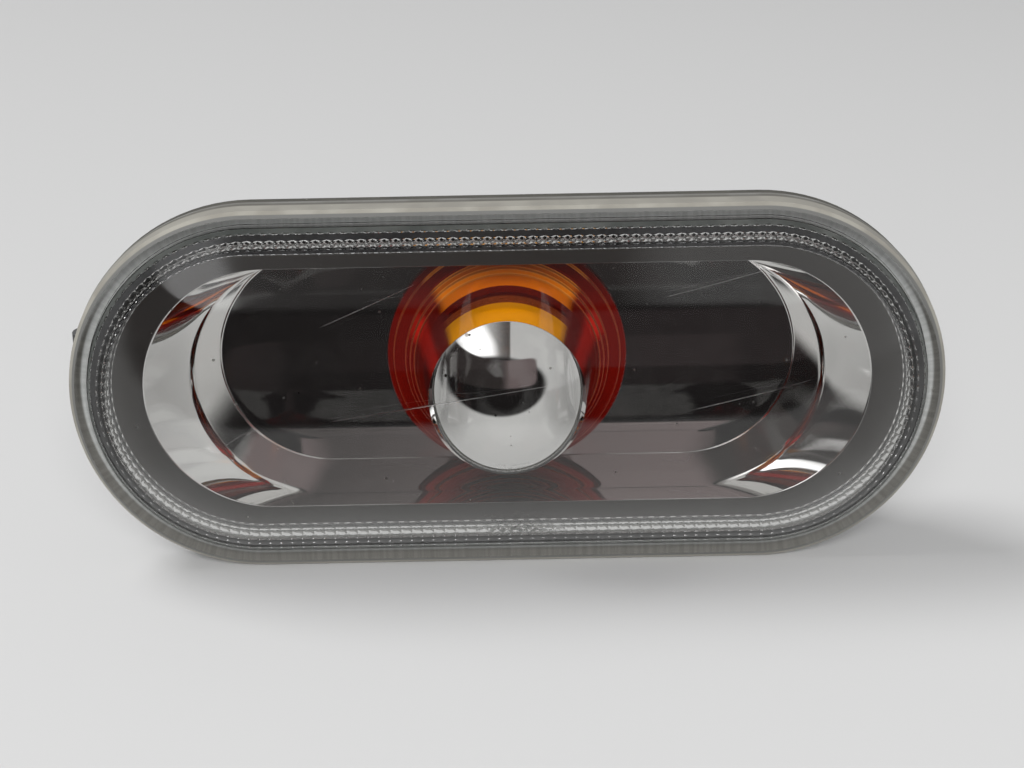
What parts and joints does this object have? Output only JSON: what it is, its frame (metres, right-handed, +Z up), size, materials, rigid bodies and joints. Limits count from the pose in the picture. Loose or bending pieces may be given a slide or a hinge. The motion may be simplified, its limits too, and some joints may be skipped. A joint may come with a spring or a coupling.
{
  "type": "side repeater lamp",
  "caption": "Oval car side repeater lamp: clear bubble lens over a bright reflector, stepped amber bulb cup with a chrome dome, twist-lock bulb holder and panel clips.",
  "frame": {"origin": "middle of the seat on the body panel, at the back face of the rim gasket", "axes": "as fitted on a car's side: +X along the lamp's length, +Y into the car, +Z up; the lens faces -Y"},
  "size_m": [0.1055, 0.0557, 0.0446],
  "materials": {
    "clear_lens": "clear moulded acrylic, glossy, with fine scratches",
    "lens_sealant": "aged grey sealant, satin",
    "rim_gasket": "dark foam rubber, matt",
    "housing_plastic": "black moulded plastic, fine grain",
    "metallised_mirror": "bright vacuum-metallised plastic",
    "metallised_dome": "bright metallised dome with small dark specks",
    "amber_plastic": "deep amber clear plastic",
    "bulb_glass": "clear blown glass",
    "bulb_wire": "drawn wire",
    "contact_strip": "stamped spring brass, slightly dull",
    "holder_plastic": "natural glass-filled plastic, off-white",
    "seal_rubber": "soft black rubber"
  },
  "bodies": {
    "lamp": {"outer_lens": "clear_lens", "lens_sealant": "lens_sealant", "rim_gasket": "rim_gasket", "housing": "housing_plastic", "reflector": "metallised_mirror", "amber_filter": "amber_plastic", "bulb_shield": "metallised_dome"},
    "holder": {"bulb_glass": "bulb_glass", "bulb_lead_wires": "bulb_wire", "bulb_filament": "bulb_wire", "terminal_upper": "contact_strip", "terminal_lower": "contact_strip", "bulb_holder": "holder_plastic", "holder_seal": "seal_rubber"}
  },
  "joints": [
    {"name": "bulb_holder_twist", "type": "hinge", "parent": "lamp", "child": "holder", "pos_m": [0, 0.0206, 0], "axis": [0, 1, 0], "range_deg": [0, 50]}
  ]
}
